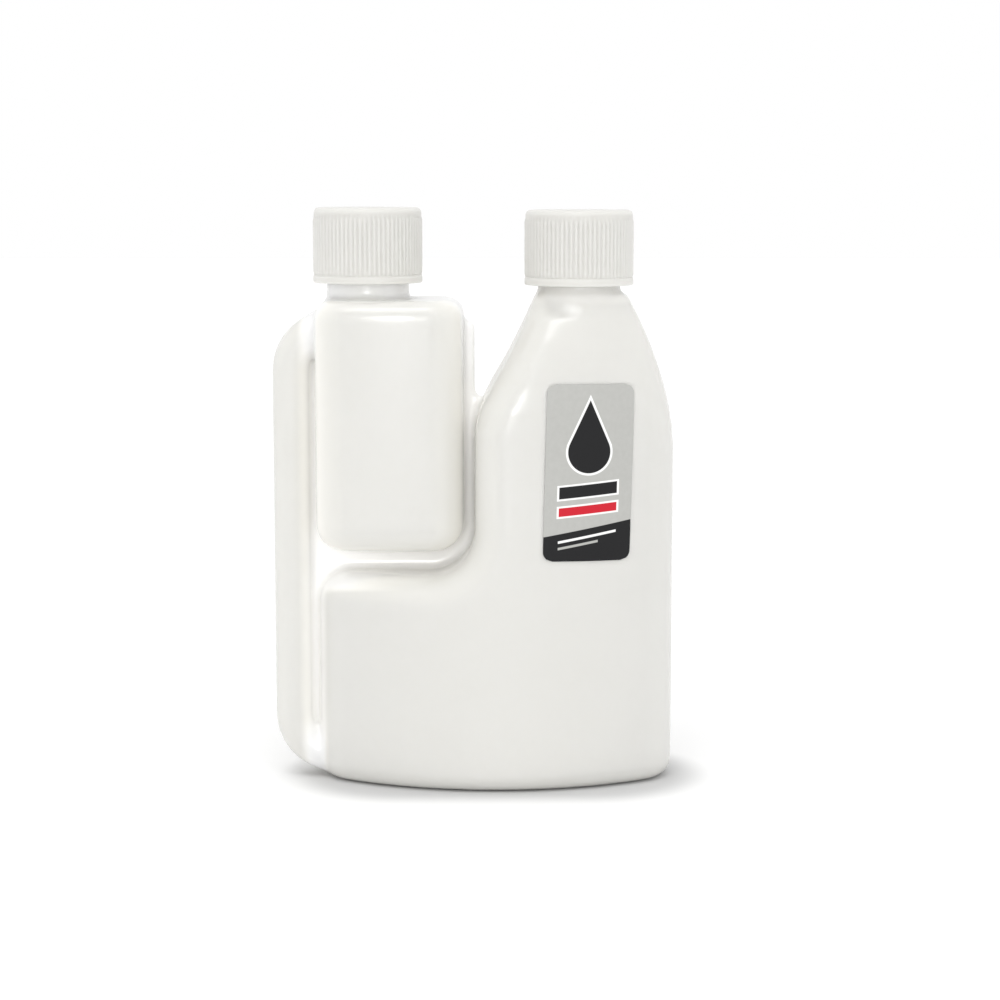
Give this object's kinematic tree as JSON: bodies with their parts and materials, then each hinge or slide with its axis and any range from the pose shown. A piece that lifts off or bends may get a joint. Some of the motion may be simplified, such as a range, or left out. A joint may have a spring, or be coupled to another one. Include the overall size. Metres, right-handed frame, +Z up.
{
  "type": "twin-neck dosing bottle",
  "caption": "Milky plastic dosing bottle with an oval reservoir, a small measuring chamber fed by a side tube, and a ribbed screw cap on each neck.",
  "frame": {"origin": "middle of the bounding box at the base, on the floor", "axes": "+Z up, front with the label at -Y, filler neck at +X, dosing neck and transfer tube at -X"},
  "size_m": [0.1, 0.044, 0.1433],
  "materials": {
    "natural_plastic": "milky, satin",
    "cap_plastic": "milky, satin, finely ribbed",
    "liner_foam": "matte",
    "label_film": "satin film"
  },
  "bodies": {
    "bottle": {"bottle_body": "natural_plastic", "label": "label_film"},
    "dosing_cap_liner": {"dosing_cap_liner": "liner_foam"},
    "dosing_cap": {"dosing_cap": "cap_plastic"},
    "filler_cap_liner": {"filler_cap_liner": "liner_foam"},
    "filler_cap": {"filler_cap": "cap_plastic"}
  },
  "joints": [
    {"name": "dosing_cap_lift", "type": "slide", "parent": "bottle", "child": "dosing_cap_liner", "axis": [0, 0, 1], "range_m": [0, 0.0191]},
    {"name": "dosing_cap_turn", "type": "hinge", "parent": "dosing_cap_liner", "child": "dosing_cap", "pos_m": [-0.0262, 0, 0], "axis": [0, 0, 1], "range_deg": [0, 2160]},
    {"name": "filler_cap_lift", "type": "slide", "parent": "bottle", "child": "filler_cap_liner", "axis": [0, 0, 1], "range_m": [0, 0.0191]},
    {"name": "filler_cap_turn", "type": "hinge", "parent": "filler_cap_liner", "child": "filler_cap", "pos_m": [0.0262, 0, 0], "axis": [0, 0, 1], "range_deg": [0, 2160]}
  ],
  "couplings": [
    {"joint": "dosing_cap_lift", "follows": "dosing_cap_turn", "m_per_rad": 0.00050532},
    {"joint": "filler_cap_lift", "follows": "filler_cap_turn", "m_per_rad": 0.00050532}
  ]
}
